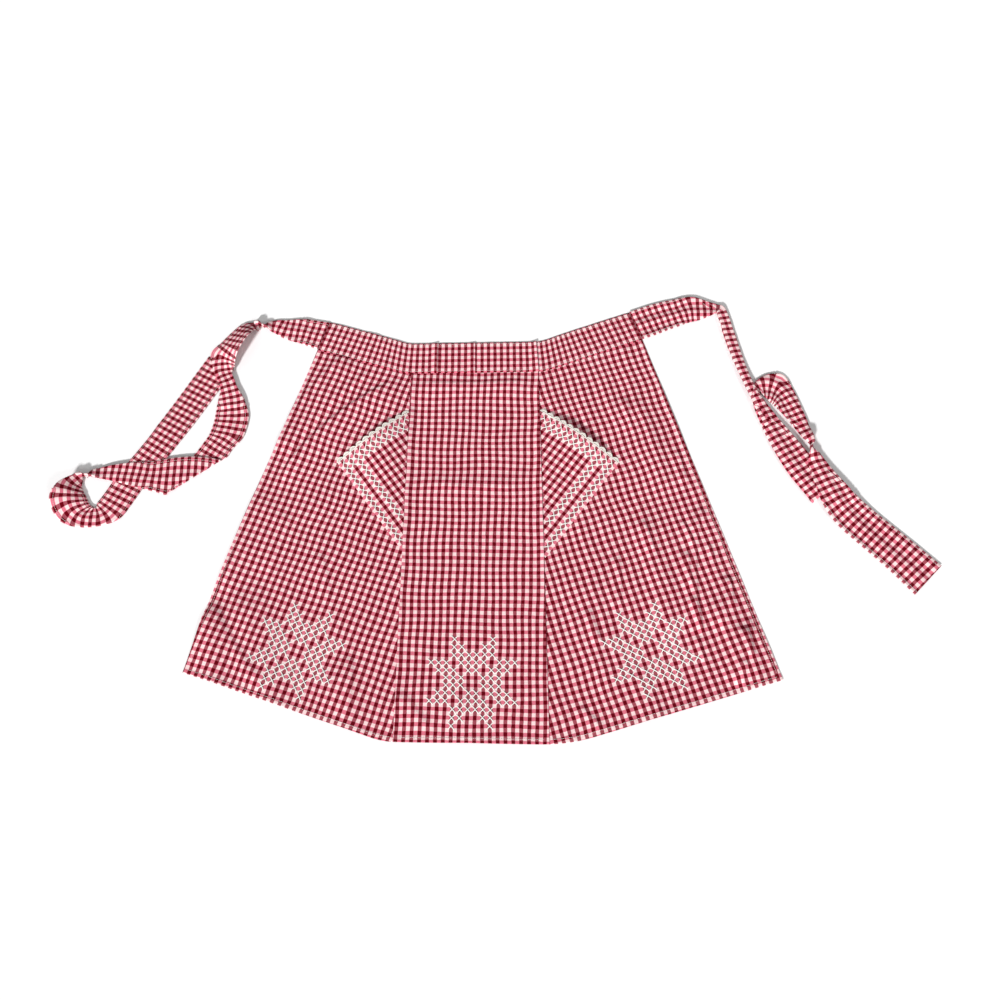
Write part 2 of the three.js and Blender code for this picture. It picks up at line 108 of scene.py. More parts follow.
def point_on(line, distance, away=0.0, lean=None):
    distance = np.asarray(distance, float)
    marks = (np.arange(24) + 0.5) / 24
    headings = heading_on(line, distance[..., None] * marks)
    heading = heading_on(lean or line, distance)
    x = line["middle"][0] + np.cos(headings).mean(-1) * distance - np.sin(heading) * away
    y = line["middle"][1] + np.sin(headings).mean(-1) * distance + np.cos(heading) * away
    return np.stack([x, y], -1)


def panel_span(line, panel):
    half = line["centre"] / 2
    if panel == "left":
        return -half - line["left"], -half - seam_gap / 2
    if panel == "right":
        return half + seam_gap / 2, half + line["right"]
    return -half + seam_gap / 2, half - seam_gap / 2


# A place on a panel: across from its left edge to its right edge, down from the waist seam to the hem
def place_on(panel, across, down):
    across = np.asarray(across, float)
    down = np.asarray(down, float)
    top = point_on(waist_line, mix(*panel_span(waist_line, panel), across))
    hem = point_on(hem_line, mix(*panel_span(hem_line, panel), across))
    points = top + (hem - top) * mix(seam_gap / skirt_length, 1, down)[..., None]
    if panel == "left":
        points[..., 0] -= left_side_bow * (1 - across) ** 2 * np.sin(math.pi * np.maximum(down, 0) ** 1.6)
    return points


# The broad folds of the solid model: panel, start, end, share of the fold's rise and share of its width
folds = [
    ("left", (0.3, 0.03), (0.04, 0.3), 1, 0.9),
    ("left", (0.06, 0.52), (0.02, 0.72), 0.7, 1.1),
    ("left", (0.02, 0.86), (0.16, 1), 1.1, 1),
    ("left", (0.2, 0.8), (0.42, 1), 0.8, 1.3),
    ("left", (0.74, 0.9), (0.78, 1), 0.6, 1.2),
    ("centre", (0.05, 0.05), (0.95, 0.05), 0.4, 0.8),
    ("centre", (0.15, 0.34), (0.85, 0.34), 0.3, 1),
    ("centre", (0.45, 0.92), (0.47, 1), 0.6, 1.4),
    ("right", (0.74, 0.2), (0.8, 0.42), 0.7, 1),
    ("right", (0.62, 0.55), (0.6, 0.78), 0.7, 1),
    ("right", (0.24, 0.66), (0.2, 0.84), 0.5, 1.2),
    ("right", (0.86, 0.8), (0.9, 0.97), 0.8, 1),
    ("right", (0.4, 0.92), (0.42, 1), 0.6, 1.3),
]

# The share of its length over which a crease fades in, and again out
crease_fade = 0.18

# Finer creases, in millimetres: start, bend and end, the rise, and the width of the steep and the easy side.
# The steep side is on the left of somebody who walks from the start to the end.
creases = [
    ((-280, -220), (-240, -110), (-110, -35), 4.5, 3, 24),
    ((-190, 5), (-235, -40), (-275, -120), 2, 2, 8),
    ((-145, -20), (-225, -80), (-285, -195), 2, 2, 9),
    ((-345, -385), (-325, -440), (-260, -505), 3, 7, 22),
    ((-85, -505), (-65, -530), (-40, -555), 2, 5.5, 16),
    ((325, -230), (300, -330), (315, -425), 3, 2.5, 16),
    ((360, -340), (350, -385), (335, -420), 2.5, 2.5, 13),
    ((380, -410), (375, -450), (350, -495), 3.5, 3.5, 18),
    ((205, -310), (210, -355), (205, -395), 2.5, 2.5, 14),
    ((165, -390), (170, -415), (180, -440), 2, 2.5, 12),
    ((150, -520), (165, -535), (180, -550), 2.5, 2.5, 12),
    ((225, -65), (225, -95), (230, -125), 2, 2.5, 12),
    ((295, -150), (300, -180), (305, -205), 2, 2, 10),
    ((-85, -45), (0, -45), (90, -40), 1.5, 2, 9),
    ((70, -210), (0, -220), (-65, -210), 1, 2, 12),
    ((-205, -310), (-190, -350), (-185, -390), 1.5, 3, 16),
    ((-250, -250), (-260, -300), (-280, -350), 1.5, 3.5, 16),
    ((-150, -455), (-145, -500), (-150, -545), 2, 3, 15),
    ((295, -260), (305, -280), (310, -300), 2.5, 2, 8),
    ((300, -305), (300, -340), (305, -360), 3, 2, 9),
    ((305, -370), (310, -395), (315, -425), 3, 2, 9),
    ((330, -245), (320, -260), (315, -280), 2, 2, 7),
    ((330, -295), (335, -305), (335, -320), 2, 2, 6),
    ((355, -340), (355, -360), (360, -390), 2.5, 2, 8),
    ((375, -400), (380, -410), (380, -420), 2, 2, 6),
    ((370, -410), (375, -435), (380, -455), 3, 2, 9),
    ((370, -460), (365, -470), (360, -495), 2.5, 2, 9),
    ((240, -260), (250, -285), (255, -310), 2, 2, 8),
    ((310, -425), (310, -445), (315, -460), 2, 2, 8),
]


def broad_folds(points):
    height = np.zeros(points.shape[:-1])
    for panel, start, end, rise, width in folds:
        a = place_on(panel, *start)
        run = place_on(panel, *end) - a
        share = np.clip(((points - a) @ run) / (run @ run), 0, 1)
        away = np.linalg.norm(points - a - share[..., None] * run, axis=-1) / (width * fold_width)
        height = np.maximum(height, rise * fold_rise * np.exp(-away * away))
    return height


# The nearest point of a bent line to each point: its signed distance and its share along the line
def along_bend(points, start, bend, end, steps=14):
    marks = np.linspace(0, 1, steps + 1)[:, None]
    line = (1 - marks) ** 2 * start + 2 * marks * (1 - marks) * bend + marks ** 2 * end
    best = np.full(points.shape[:-1], 1e9)
    side = np.zeros(points.shape[:-1])
    share = np.zeros(points.shape[:-1])
    for i in range(steps):
        run = line[i + 1] - line[i]
        t = np.clip(((points - line[i]) @ run) / (run @ run), 0, 1)
        off = points - line[i] - t[..., None] * run
        away = np.linalg.norm(off, axis=-1)
        nearer = away < best
        turn = np.sign(run[0] * off[..., 1] - run[1] * off[..., 0])
        best = np.where(nearer, away, best)
        side = np.where(nearer, turn, side)
        share = np.where(nearer, (i + t) / steps, share)
    return best * side, share


# The height of the creases of a table, each of which fades in over a share of its length, and out again
def fine_creases(points, table, fade_share):
    height = np.zeros(points.shape[:-1])
    for start, bend, end, rise, steep, easy in table:
        corners = [np.array(corner) * mm for corner in (start, bend, end)]
        away, share = along_bend(points, *corners)
        width = np.where(away > 0, steep, easy) * mm
        fade = smoothstep(share, 0, fade_share) * smoothstep(1 - share, 0, fade_share)
        height = height + rise * mm * np.exp(-(away / width) ** 2) * fade
    return height


# A sum of waves of about one length and direction, for cloth that never lies quite flat
wave_count = 9


def waves(points, length, stretch, turn, seed):
    spins = np.random.default_rng(seed)
    total = np.zeros(points.shape[:-1])
    for _ in range(wave_count):
        angle = math.radians(turn) + spins.normal(0, stretch)
        size = length * spins.uniform(0.7, 1.6)
        phase = spins.uniform(0, 2 * math.pi)
        run = points[..., 0] * math.cos(angle) + points[..., 1] * math.sin(angle)
        total = total + np.sin(2 * math.pi * run / size + phase)
    return total / 3


# The waves of the whole skirt, and the streaks that run down each side panel from where the centre panel ends
skirt_wave = 0.32 * mm
right_streak = 0.34 * mm
left_streak = 0.24 * mm
streak_edge = (95 * mm, 125 * mm)


# Height of the underside of the skirt above the floor
def relief(points):
    x = points[..., 0]
    height = broad_folds(points) + fine_creases(points, creases, crease_fade)
    height = height + skirt_wave * (waves(points, 95 * mm, 1.6, 0, 3) + 1)
    height = height + right_streak * smoothstep(x, *streak_edge) * waves(points, 27 * mm, 0.12, 17, 5)
    height = height + left_streak * smoothstep(-x, *streak_edge) * waves(points, 34 * mm, 0.16, -16, 6)
    return np.maximum(height, 0)


# Meshes: marks from 0 to a length, close together at both ends where the edge is rounded
rim_marks = (0.0, 0.12, 0.45, 1.1)


def distances(length, cell):
    rim = np.array(rim_marks) * mm
    inner = np.linspace(rim[-1], length - rim[-1], max(2, round(length / cell)))
    return np.concatenate([rim[:-1], inner, length - rim[:-1][::-1]])


# The share of the full thickness at some distance from a rounded edge
edge_share = 0.25


def edge_round(away, radius):
    t = np.clip(away / radius, 0, 1)
    return edge_share + (1 - edge_share) * np.sqrt(1 - (1 - t) ** 2)


def folded_over(gap, fold):
    extra, start, end = fold
    return extra * mm * smoothstep(-gap, -end * mm, -start * mm)


def placed(name, data):
    made = bpy.data.objects.new(name, data)
    bpy.context.scene.collection.objects.link(made)
    return made


def mesh_object(name, vertices, faces, uv=None, materials=()):
    mesh = bpy.data.meshes.new(name)
    mesh.from_pydata(np.asarray(vertices).tolist(), [], np.asarray(faces).tolist())
    mesh.polygons.foreach_set("use_smooth", np.ones(len(mesh.polygons), dtype=bool))
    if uv is not None:
        layer = mesh.uv_layers.new(name="cloth")
        corners = np.empty(len(mesh.loops), dtype=np.int32)
        mesh.loops.foreach_get("vertex_index", corners)
        layer.data.foreach_set("uv", np.asarray(uv, dtype=np.float32)[corners].ravel())
    for material in materials:
        mesh.materials.append(material)
    mesh.update()
    return placed(name, mesh)


def signed_volume(vertices, quads):
    a, b, c, d = (vertices[quads[:, k]] for k in range(4))
    first = np.einsum("ij,ij->i", a, np.cross(b, c)).sum()
    second = np.einsum("ij,ij->i", a, np.cross(c, d)).sum()
    return first + second


# A closed sheet between an underside and an upper side, with its place on the cloth in checks
def cloth_solid(name, under, upper, uv, material):
    rows, columns = upper.shape[:2]
    count = rows * columns
    vertices = np.concatenate([under.reshape(-1, 3), upper.reshape(-1, 3)])
    uvs = np.concatenate([uv.reshape(-1, 2), uv.reshape(-1, 2)])
    ids = np.arange(count).reshape(rows, columns)
    a, b, c, d = ids[:-1, :-1], ids[1:, :-1], ids[1:, 1:], ids[:-1, 1:]
    top = np.stack([a, b, c, d], -1).reshape(-1, 4) + count
    bottom = np.stack([a, d, c, b], -1).reshape(-1, 4)
    ring = np.concatenate([ids[:-1, 0], ids[-1, :-1], ids[:0:-1, -1], ids[0, :0:-1]])
    after = np.roll(ring, -1)
    wall = np.stack([ring, after, after + count, ring + count], -1)
    quads = np.concatenate([top, bottom, wall])
    if signed_volume(vertices, quads) < 0:
        quads = quads[:, ::-1]
    return mesh_object(name, vertices, quads, uvs, [material])


def with_height(points, height):
    return np.concatenate([points, height[..., None]], -1)


# A closed sheet from its plan, the height of its middle and half its thickness there
def laid_cloth(name, points, middle, half, uv, material, rise=0.0):
    under = with_height(points, middle - half)
    upper = with_height(points, middle + half + rise)
    return cloth_solid(name, under, upper, uv, material)


def unit(vectors):
    return vectors / np.maximum(np.linalg.norm(vectors, axis=-1, keepdims=True), 1e-12)


# Materials
class Net:
    def __init__(self, name):
        self.material = bpy.data.materials.new(name)
        self.material.use_nodes = True
        self.tree = self.material.node_tree
        self.shader = self.tree.nodes["Principled BSDF"]

    def node(self, kind, **values):
        made = self.tree.nodes.new(kind)
        for key, value in values.items():
            setattr(made, key, value)
        return made

    def put(self, socket, value):
        if isinstance(value, bpy.types.NodeSocket):
            self.tree.links.new(value, socket)
        else:
            socket.default_value = value

    def math(self, operation, first, second=0.0, third=0.0):
        made = self.node("ShaderNodeMath", operation=operation)
        for socket, value in zip(made.inputs, (first, second, third)):
            self.put(socket, value)
        return made.outputs[0]

    def ramp(self, value, low, high, start=0.0, end=1.0):
        made = self.node("ShaderNodeMapRange", interpolation_type="SMOOTHSTEP")
        for key, number in (("Value", value), ("From Min", low), ("From Max", high)):
            self.put(made.inputs[key], number)
        self.put(made.inputs["To Min"], start)
        self.put(made.inputs["To Max"], end)
        return made.outputs[0]

    def blend(self, factor, first, second, how="MIX"):
        made = self.node("ShaderNodeMix", data_type="RGBA", blend_type=how)
        self.put(made.inputs[0], factor)
        self.put(made.inputs[6], first)
        self.put(made.inputs[7], second)
        return made.outputs[2]

    def surface(self, roughness, specular):
        self.shader.inputs["Roughness"].default_value = roughness
        self.shader.inputs["Specular IOR Level"].default_value = specular

    def noise(self, vector, scale, detail=2.0):
        made = self.node("ShaderNodeTexNoise")
        self.put(made.inputs["Vector"], vector)
        made.inputs["Scale"].default_value = scale
        made.inputs["Detail"].default_value = detail
        return made.outputs["Fac"]

    def joined(self, x, y, z=0.0):
        made = self.node("ShaderNodeCombineXYZ")
        for socket, value in zip(made.inputs, (x, y, z)):
            self.put(socket, value)
        return made.outputs[0]

    def bump(self, height, distance, strength, normal=None):
        made = self.node("ShaderNodeBump")
        self.put(made.inputs["Height"], height)
        made.inputs["Distance"].default_value = distance
        made.inputs["Strength"].default_value = strength
        if normal is not None:
            self.put(made.inputs["Normal"], normal)
        return made.outputs[0]


# Colours of the yarns and of the checks, and how the weave is made
white_yarn = (0.96, 0.70, 0.695, 1)
pink_check = (0.72, 0.14, 0.215, 1)
dusky_check = (0.32, 0.024, 0.054, 1)
deep_check = (0.125, 0.0002, 0.005, 1)
red_yarn = (0.17, 0.0005, 0.006, 1)
yarns_per_check = 22
stripe_edge = (0.225, 0.275)
drift_of_checks = 0.10
thread_share = 0.15
slub_length = 7.0
slub_width = 0.35
slub_range = (0.88, 1.10)
wear_most = 0.004


# Checked cotton. The map counts checks, and a coloured stripe is centred on each whole number.
def checked_cotton(name):
    net = Net(name)
    place = net.node("ShaderNodeUVMap", uv_map="cloth").outputs[0]
    split = net.node("ShaderNodeSeparateXYZ")
    net.put(split.inputs[0], place)
    u, v = split.outputs[0], split.outputs[1]
    drift = net.math("MULTIPLY_ADD", net.noise(place, 1.3, 1.0), drift_of_checks, -drift_of_checks / 2)
    u = net.math("ADD", u, drift)
    v = net.math("SUBTRACT", v, drift)
    upright = net.ramp(net.math("PINGPONG", u, 0.5), *stripe_edge, 1.0, 0.0)
    level = net.ramp(net.math("PINGPONG", v, 0.5), *stripe_edge, 1.0, 0.0)
    plain = net.blend(level, white_yarn, pink_check)
    striped = net.blend(level, dusky_check, deep_check)
    colour = net.blend(upright, plain, striped)
    # Threads over and under one another
    fine_u = net.math("SINE", net.math("MULTIPLY", u, math.pi * yarns_per_check))
    fine_v = net.math("SINE", net.math("MULTIPLY", v, math.pi * yarns_per_check))
    over = net.math("MULTIPLY", fine_u, fine_v)
    warp_shows = net.ramp(over, -0.35, 0.35)
    weft, warp = (net.blend(stripe, white_yarn, red_yarn) for stripe in (level, upright))
    colour = net.blend(thread_share, colour, net.blend(warp_shows, weft, warp))
    # Uneven yarns, and slight wear
    slubs = []
    for times_u, times_v in ((slub_length, slub_width), (slub_width, slub_length)):
        stretched = net.joined(net.math("MULTIPLY", u, times_u), net.math("MULTIPLY", v, times_v))
        slubs.append(net.math("MULTIPLY", net.noise(stretched, 1.0), 0.5))
    slub = net.math("ADD", *slubs)
    shade = net.ramp(slub, 0.3, 0.7, *slub_range)
    wear = net.ramp(net.noise(place, 0.35, 3.0), 0.3, 0.75, 0.0, wear_most)
    shades = net.joined(shade, shade, shade)
    colour = net.blend(1.0, colour, shades, "MULTIPLY")
    colour = net.blend(wear, colour, white_yarn)
    net.put(net.shader.inputs["Base Color"], colour)
    net.surface(roughness=0.9, specular=0.04)
    puckers = net.bump(net.noise(place, 1.1, 3.0), 0.9 * mm, 0.35)
    weave = net.bump(net.math("ADD", over, slub), 0.12 * mm, 0.5, puckers)
    net.put(net.shader.inputs["Normal"], weave)
    return net.material


# White thread, with painted shade in the hollows between its strands
hollow_shade_tint = (0.72, 0.70, 0.66)


def white_thread(name, colour, roughness):
    net = Net(name)
    place = net.node("ShaderNodeTexCoord").outputs["Object"]
    # Painted shade: random darker patches stand in for the shade in the hollows between the strands
    hollow_shade = net.ramp(net.noise(place, 900.0), 0.3, 0.7, 0.0, 0.22)
    shadow = (*(part * tint for part, tint in zip(colour, hollow_shade_tint)), 1)
    net.put(net.shader.inputs["Base Color"], net.blend(hollow_shade, (*colour, 1), shadow))
    net.surface(roughness, specular=0.25)
    net.shader.inputs["Sheen Weight"].default_value = 0.1
    net.put(net.shader.inputs["Normal"], net.bump(net.noise(place, 1800.0), 0.2 * mm, 0.5))
    return net.material


gingham = checked_cotton("checked cotton")
pocket_gingham = checked_cotton("checked cotton of the pockets")
tie_gingham = checked_cotton("checked cotton of the ties")
trim_white = white_thread("cream edging", (0.95, 0.92, 0.85), 0.8)
thread_white = white_thread("white thread", (0.93, 0.92, 0.88), 0.65)


# The grain of each panel: the middle of its star, where four checks meet, and the turn of its rows
grains = {
    "left": (np.array([-223, -454]) * mm, -16.0),
    "centre": (np.array([11, -492]) * mm, 0.0),
    "right": (np.array([245, -446]) * mm, 17.0),
}


# How far the checks wander from straight rows, in checks: loosely woven cloth never lies square
wander_most = 0.06
wander_length = 80 * mm


def wander(points):
    return (wander_most * waves(points, wander_length, 1.6, 0, seed) for seed in (21, 22))


def grain_of(panel):
    middle, turn = grains[panel]
    return middle, math.cos(math.radians(turn)), math.sin(math.radians(turn))


def checks_at(panel, points):
    middle, c, s = grain_of(panel)
    away = points - middle
    off_u, off_v = wander(points)
    u = (away[..., 0] * c + away[..., 1] * s) / check_across + 0.5 + off_u
    v = (-away[..., 0] * s + away[..., 1] * c) / check_along + 0.5 + off_v
    return np.stack([u, v], -1)


def place_of_checks(panel, u, v):
    middle, c, s = grain_of(panel)

    def turned(x, y):
        return np.stack([middle[0] + x * c - y * s, middle[1] + x * s + y * c], -1)

    x = (np.asarray(u) - 0.5) * check_across
    y = (np.asarray(v) - 0.5) * check_along
    off_u, off_v = wander(turned(x, y))
    return turned(x - off_u * check_across, y - off_v * check_along)


# Skirt panels. The centre panel's edges are folded and lap over the side panels and the pockets.
cell_across = 1.45 * mm
cell_down = 3.1 * mm
lap = 1.6 * mm
lap_rise = 1.15 * mm
lap_width = 4.5 * mm
lap_rise_on_pocket = 1.35 * mm
lap_width_on_pocket = 4 * mm
pocket_drop = 66 * mm
pocket_sizes = {
    "left": {"seam": 218 * mm, "mouth": 129 * mm, "lower": 167 * mm},
    "right": {"seam": 230 * mm, "mouth": 140 * mm, "lower": 180 * mm},
}


def lap_height(side_gap, y, side):
    start = -waistband_height / 2 - pocket_drop
    end = start - pocket_sizes[side]["seam"]
    on_pocket = smoothstep(-y, -start - 10 * mm, -start + 6 * mm) * smoothstep(y, end - 6 * mm, end + 14 * mm)
    rise = lap_rise + lap_rise_on_pocket * on_pocket
    return rise * np.exp(-(side_gap / (lap_width + lap_width_on_pocket * on_pocket)) ** 2)


def skirt_panel(panel):
    top_width = waist_line[panel]
    hem_width = hem_line[panel]
    width = max(top_width, hem_width)
    across = distances(width, cell_across) / width
    if panel == "left":
        across = np.concatenate([across[:-3], [1 + lap / width]])
    if panel == "right":
        across = np.concatenate([[-lap / width], across[3:]])
    down = distances(skirt_length, cell_down) / skirt_length
    down = np.concatenate([[-0.5 * mm / skirt_length], down[2:]])
    points = place_on(panel, across[:, None], down[None, :])
    local_width = mix(top_width, hem_width, down)[None, :]
    gaps = {"left": across[:, None] * local_width, "right": (1 - across[:, None]) * local_width}
    hem_gap = ((1 - down) * skirt_length)[None, :] + 0 * across[:, None]
    cloth = np.full(points.shape[:-1], panel_sheet) + folded_over(hem_gap, hem_fold)
    lift = np.zeros(points.shape[:-1])
    edges = [hem_gap]
    if panel == "centre":
        cloth = cloth + folded_over(np.minimum(*gaps.values()), seam_fold)
        lift = sum(lap_height(gap, points[..., 1], side) for side, gap in gaps.items())
        edges += gaps.values()
    else:
        cloth = cloth + folded_over(gaps[panel], side_fold)
        edges.append(gaps[panel])
    full = edge_round(np.minimum.reduce(edges), 0.7 * mm)
    name = "centre_cloth" if panel == "centre" else panel + "_side_cloth"
    middle = relief(points) + lift + cloth / 2
    return laid_cloth(name, points, middle, cloth / 2 * full, checks_at(panel, points), gingham)


panels = {panel: skirt_panel(panel) for panel in ("left", "centre", "right")}


# Height of the upper side of a panel
def panel_top(points):
    return relief(points) + panel_sheet


# Waistband: doubled cloth with three tucks, by place as a share of the centre panel and height in millimetres
tucks = [(-0.30, 2.2), (0.0, 1.2), (0.5, 3.0)]
tuck_marks = (-2, -1, -0.4, 0, 0.4, 1, 2)
tuck_steep = 0.7
tuck_easy = 7.5
hidden_checks = 0.45
band_cell = 1.9 * mm
band_sheet = 1.9 * mm
band_end_sheet = 1.3 * mm
band_end_length = 14 * mm
band_edge_radius = 1.7 * mm
band_wave = 0.16 * mm
band_pucker = 0.14 * mm
pucker_reach = 5 * mm

# Pressed creases of the band, in the same columns as the skirt's
band_crease_fade = 0.2
band_creases = [
    ((-160, 49), (-137, 22), (-112, 9), 0.7, 2.6, 6),
    ((-163, 49), (-159, 26), (-157, 4), 0.6, 2.6, 6),
    ((-228, 40), (-212, 36), (-190, 32), 0.6, 2.4, 5),
    ((150, 42), (166, 30), (176, 14), 0.5, 3, 7),
    ((205, 66), (214, 48), (216, 30), 0.5, 3, 7),
]

# The band's upper edge turns more gently than the seam
upper_turn = 95 * mm
band_lean = dict(waist_line, left_turn_length=upper_turn, right_turn_length=upper_turn)
left_end = -waist_line["centre"] / 2 - waist_line["left"]
right_end = waist_line["centre"] / 2 + waist_line["right"]


def waistband():
    laps = [share * waist_line["centre"] + step * mm for share, _ in tucks for step in tuck_marks]
    along = np.concatenate([left_end + distances(right_end - left_end, band_cell), laps])
    along = np.unique(np.round(along, 6))
    away = distances(waistband_height, band_cell)
    points = point_on(waist_line, along[:, None] + 0 * away[None, :], away[None, :], band_lean)
    rise = np.zeros(points.shape[:-1])
    hidden = np.zeros(points.shape[:-1])
    for share, height in tucks:
        off = along[:, None] - share * waist_line["centre"] + 0 * away[None, :]
        width = np.where(off > 0, tuck_steep, tuck_easy) * mm
        rise = rise + height * mm * np.exp(-(off / width) ** 2)
        hidden = hidden + hidden_checks * smoothstep(off, -0.3 * mm, 0.5 * mm)
    rise = rise + fine_creases(points, band_creases, band_crease_fade)
    rise = rise + band_wave * (waves(points, 26 * mm, 0.5, 0, 8) + 1)
    pinch = np.exp(-(away / pucker_reach) ** 2)[None, :]
    rise = rise + band_pucker * pinch * waves(points, 13 * mm, 0.2, 0, 9)
    ends = np.minimum(along - left_end, right_end - along)[:, None] + 0 * away[None, :]
    sides = np.minimum(away, waistband_height - away)[None, :] + 0 * along[:, None]
    full = edge_round(sides, band_edge_radius)
    cloth = mix(band_end_sheet, band_sheet, smoothstep(ends, 0, band_end_length))
    u = along[:, None] / band_check + hidden
    v = away[None, :] / check_along + 0 * along[:, None]
    uv = np.stack([u, v], -1)
    return laid_cloth("waistband_cloth", points, cloth / 2, cloth / 2 * full, uv, gingham, rise * full)


band = waistband()


# Pockets: triangles set into the panel seams, cut so that the checks follow the mouth and the lower side
def pocket_corners(side):
    sizes = pocket_sizes[side]
    across = 1 if side == "left" else 0
    top = place_on(side, across, pocket_drop / skirt_length)
    bottom = place_on(side, across, (pocket_drop + sizes["seam"]) / skirt_length)
    seam = bottom - top
    length = np.linalg.norm(seam)
    down_seam = (sizes["mouth"] ** 2 - sizes["lower"] ** 2 + length ** 2) / (2 * length)
    out = math.sqrt(sizes["mouth"] ** 2 - down_seam ** 2)
    seam = seam / length
    outward = np.array([-seam[1], seam[0]]) * (-1 if side == "left" else 1)
    outer = top + seam * down_seam + outward * out
    return top, outer, bottom


# The mouth's gape, and how many checks the coloured check numbered 0 lies from the lower side and the mouth
pocket_gape = 9 * mm
pocket_first_check = np.array([1.7, 0.6])
pocket_cell = 1.7 * mm
pocket_tip = 0.985
pocket_wave = 0.12 * mm


def gape_at(along, inward):
    return pocket_gape * np.sin(math.pi * np.clip(along, 0, 1)) ** 1.2 * np.clip(1 - inward, 0, 1) ** 2.2


# A place on a pocket by its distances from the outer corner, along the mouth and along the lower side
def on_pocket(side, along_mouth, along_lower):
    top, outer, bottom = pocket_corners(side)
    sizes = pocket_sizes[side]
    inward = along_lower / sizes["lower"]
    along = 1 - along_mouth / np.maximum(sizes["mouth"] * (1 - inward), 1e-6)
    points = outer + along_mouth[..., None] * unit(top - outer)
    points = points + along_lower[..., None] * unit(bottom - outer)
    height = panel_top(points) + pocket_lift + gape_at(along, inward)
    height = height + pocket_wave * (waves(points, 30 * mm, 1.5, 40, 14) + 1)
    return points, height


def pocket(side):
    sizes = pocket_sizes[side]
    inward = distances(sizes["lower"] * pocket_tip, pocket_cell) / sizes["lower"]
    share = distances(sizes["mouth"], pocket_cell) / sizes["mouth"]
    along_lower = inward[:, None] * sizes["lower"] + 0 * share[None, :]
    along_mouth = share[None, :] * sizes["mouth"] * (1 - inward[:, None])
    points, height = on_pocket(side, along_mouth, along_lower)
    full = edge_round(np.minimum(along_lower, along_mouth), 0.6 * mm)
    cloth = pocket_sheet + folded_over(along_lower, pocket_mouth_fold)
    cloth = cloth + folded_over(along_mouth, pocket_side_fold)
    u = along_mouth / check_across - pocket_first_check[0]
    v = along_lower / check_along - pocket_first_check[1]
    uv = np.stack([u, v], -1)
    name = side + "_pocket_cloth"
    return laid_cloth(name, points, height + cloth / 2, cloth / 2 * full, uv, pocket_gingham)


pockets = {side: pocket(side) for side in ("left", "right")}


# Threads: lines of points swept with a round profile
def thread_tree():
    tree = bpy.data.node_groups.new("Thread from lines", "GeometryNodeTree")
    face = tree.interface
    face.new_socket("Geometry", in_out="INPUT", socket_type="NodeSocketGeometry")
    sockets = {}
    for name, kind in (
        ("Thread radius", "NodeSocketFloat"),
        ("Thread sides", "NodeSocketInt"),
        ("Thread material", "NodeSocketMaterial"),
    ):
        sockets[name] = face.new_socket(name, in_out="INPUT", socket_type=kind).identifier
    face.new_socket("Geometry", in_out="OUTPUT", socket_type="NodeSocketGeometry")
    start = tree.nodes.new("NodeGroupInput")
    end = tree.nodes.new("NodeGroupOutput")
    kinds = (
        "GeometryNodeMeshToCurve", "GeometryNodeCurvePrimitiveCircle", "GeometryNodeCurveToMesh",
        "GeometryNodeSetShadeSmooth", "GeometryNodeRealizeInstances", "GeometryNodeSetMaterial",
    )
    curve, ring, sweep, smooth, real, paint = (tree.nodes.new(kind) for kind in kinds)
    sweep.inputs["Fill Caps"].default_value = True
    for source, output, target, entry in (
        (start, "Geometry", curve, "Mesh"),
        (start, "Thread sides", ring, "Resolution"),
        (start, "Thread radius", ring, "Radius"),
        (curve, "Curve", sweep, "Curve"),
        (ring, "Curve", sweep, "Profile Curve"),
        (sweep, "Mesh", smooth, "Geometry"),
        (smooth, "Geometry", real, "Geometry"),
        (real, "Geometry", paint, "Geometry"),
        (start, "Thread material", paint, "Material"),
        (paint, "Geometry", end, "Geometry"),
    ):
        tree.links.new(source.outputs[output], target.inputs[entry])
    return tree, sockets


thread_nodes, thread_sockets = thread_tree()


def threads(name, lines, radius, material, sides=6):
    points = np.concatenate(lines)
    edges = []
    first = 0
    for line in lines:
        edges += [(first + i, first + i + 1) for i in range(len(line) - 1)]
        first += len(line)
    mesh = bpy.data.meshes.new(name + " lines")
    mesh.from_pydata(points.tolist(), edges, [])
    source = placed(name + " lines", mesh)
    sweep = source.modifiers.new("Thread from lines", "NODES")
    sweep.node_group = thread_nodes
    sweep[thread_sockets["Thread radius"]] = radius
    sweep[thread_sockets["Thread sides"]] = sides
    sweep[thread_sockets["Thread material"]] = material
    graph = bpy.context.evaluated_depsgraph_get()
    real = bpy.data.meshes.new_from_object(source.evaluated_get(graph), depsgraph=graph)
    source.modifiers.clear()
    bpy.data.objects.remove(source)
    real.name = name
    if material.name not in [m.name for m in real.materials if m]:
        real.materials.append(material)
    return placed(name, real)


# The upper half of each panel's star, which the lower half mirrors. Each X is a cross on a coloured check.
star_half = [
    "...X....X...",
    "...XX..XX...",
    "...XXXXXX...",
    "XXX.XXXX.XXX",
    ".XXX.XX.XXX.",
    "..XXX..XXX..",
]
star_chart = star_half + star_half[::-1]
cross_thread = 0.36 * mm
strand_gap = 0.34 * mm
upper_arm_rise = 0.5 * mm
strand_dip = 0.25 * mm
cross_scatter = 0.025


# Crosses on given ends, two arms to a cross: each arm is two strands side by side that dip into the cloth
def cross_strands(starts, ends, over, height_at):
    marks = np.linspace(0, 1, 9)[None, :]
    run = (ends - starts)[:, None, :]
    side = unit(np.concatenate([-run[..., 1:], run[..., :1]], -1))
    swell = np.sin(math.pi * marks)
    lines = []
    for offset in (-strand_gap, strand_gap):
        flat = starts[:, None, :] + run * marks[..., None] + side * (offset * swell ** 0.5)[..., None]
        lift = (cross_thread * 0.65 + over[:, None] * upper_arm_rise) * swell ** 0.45 - strand_dip
        lines += list(with_height(flat, height_at(flat) + lift))
    return lines


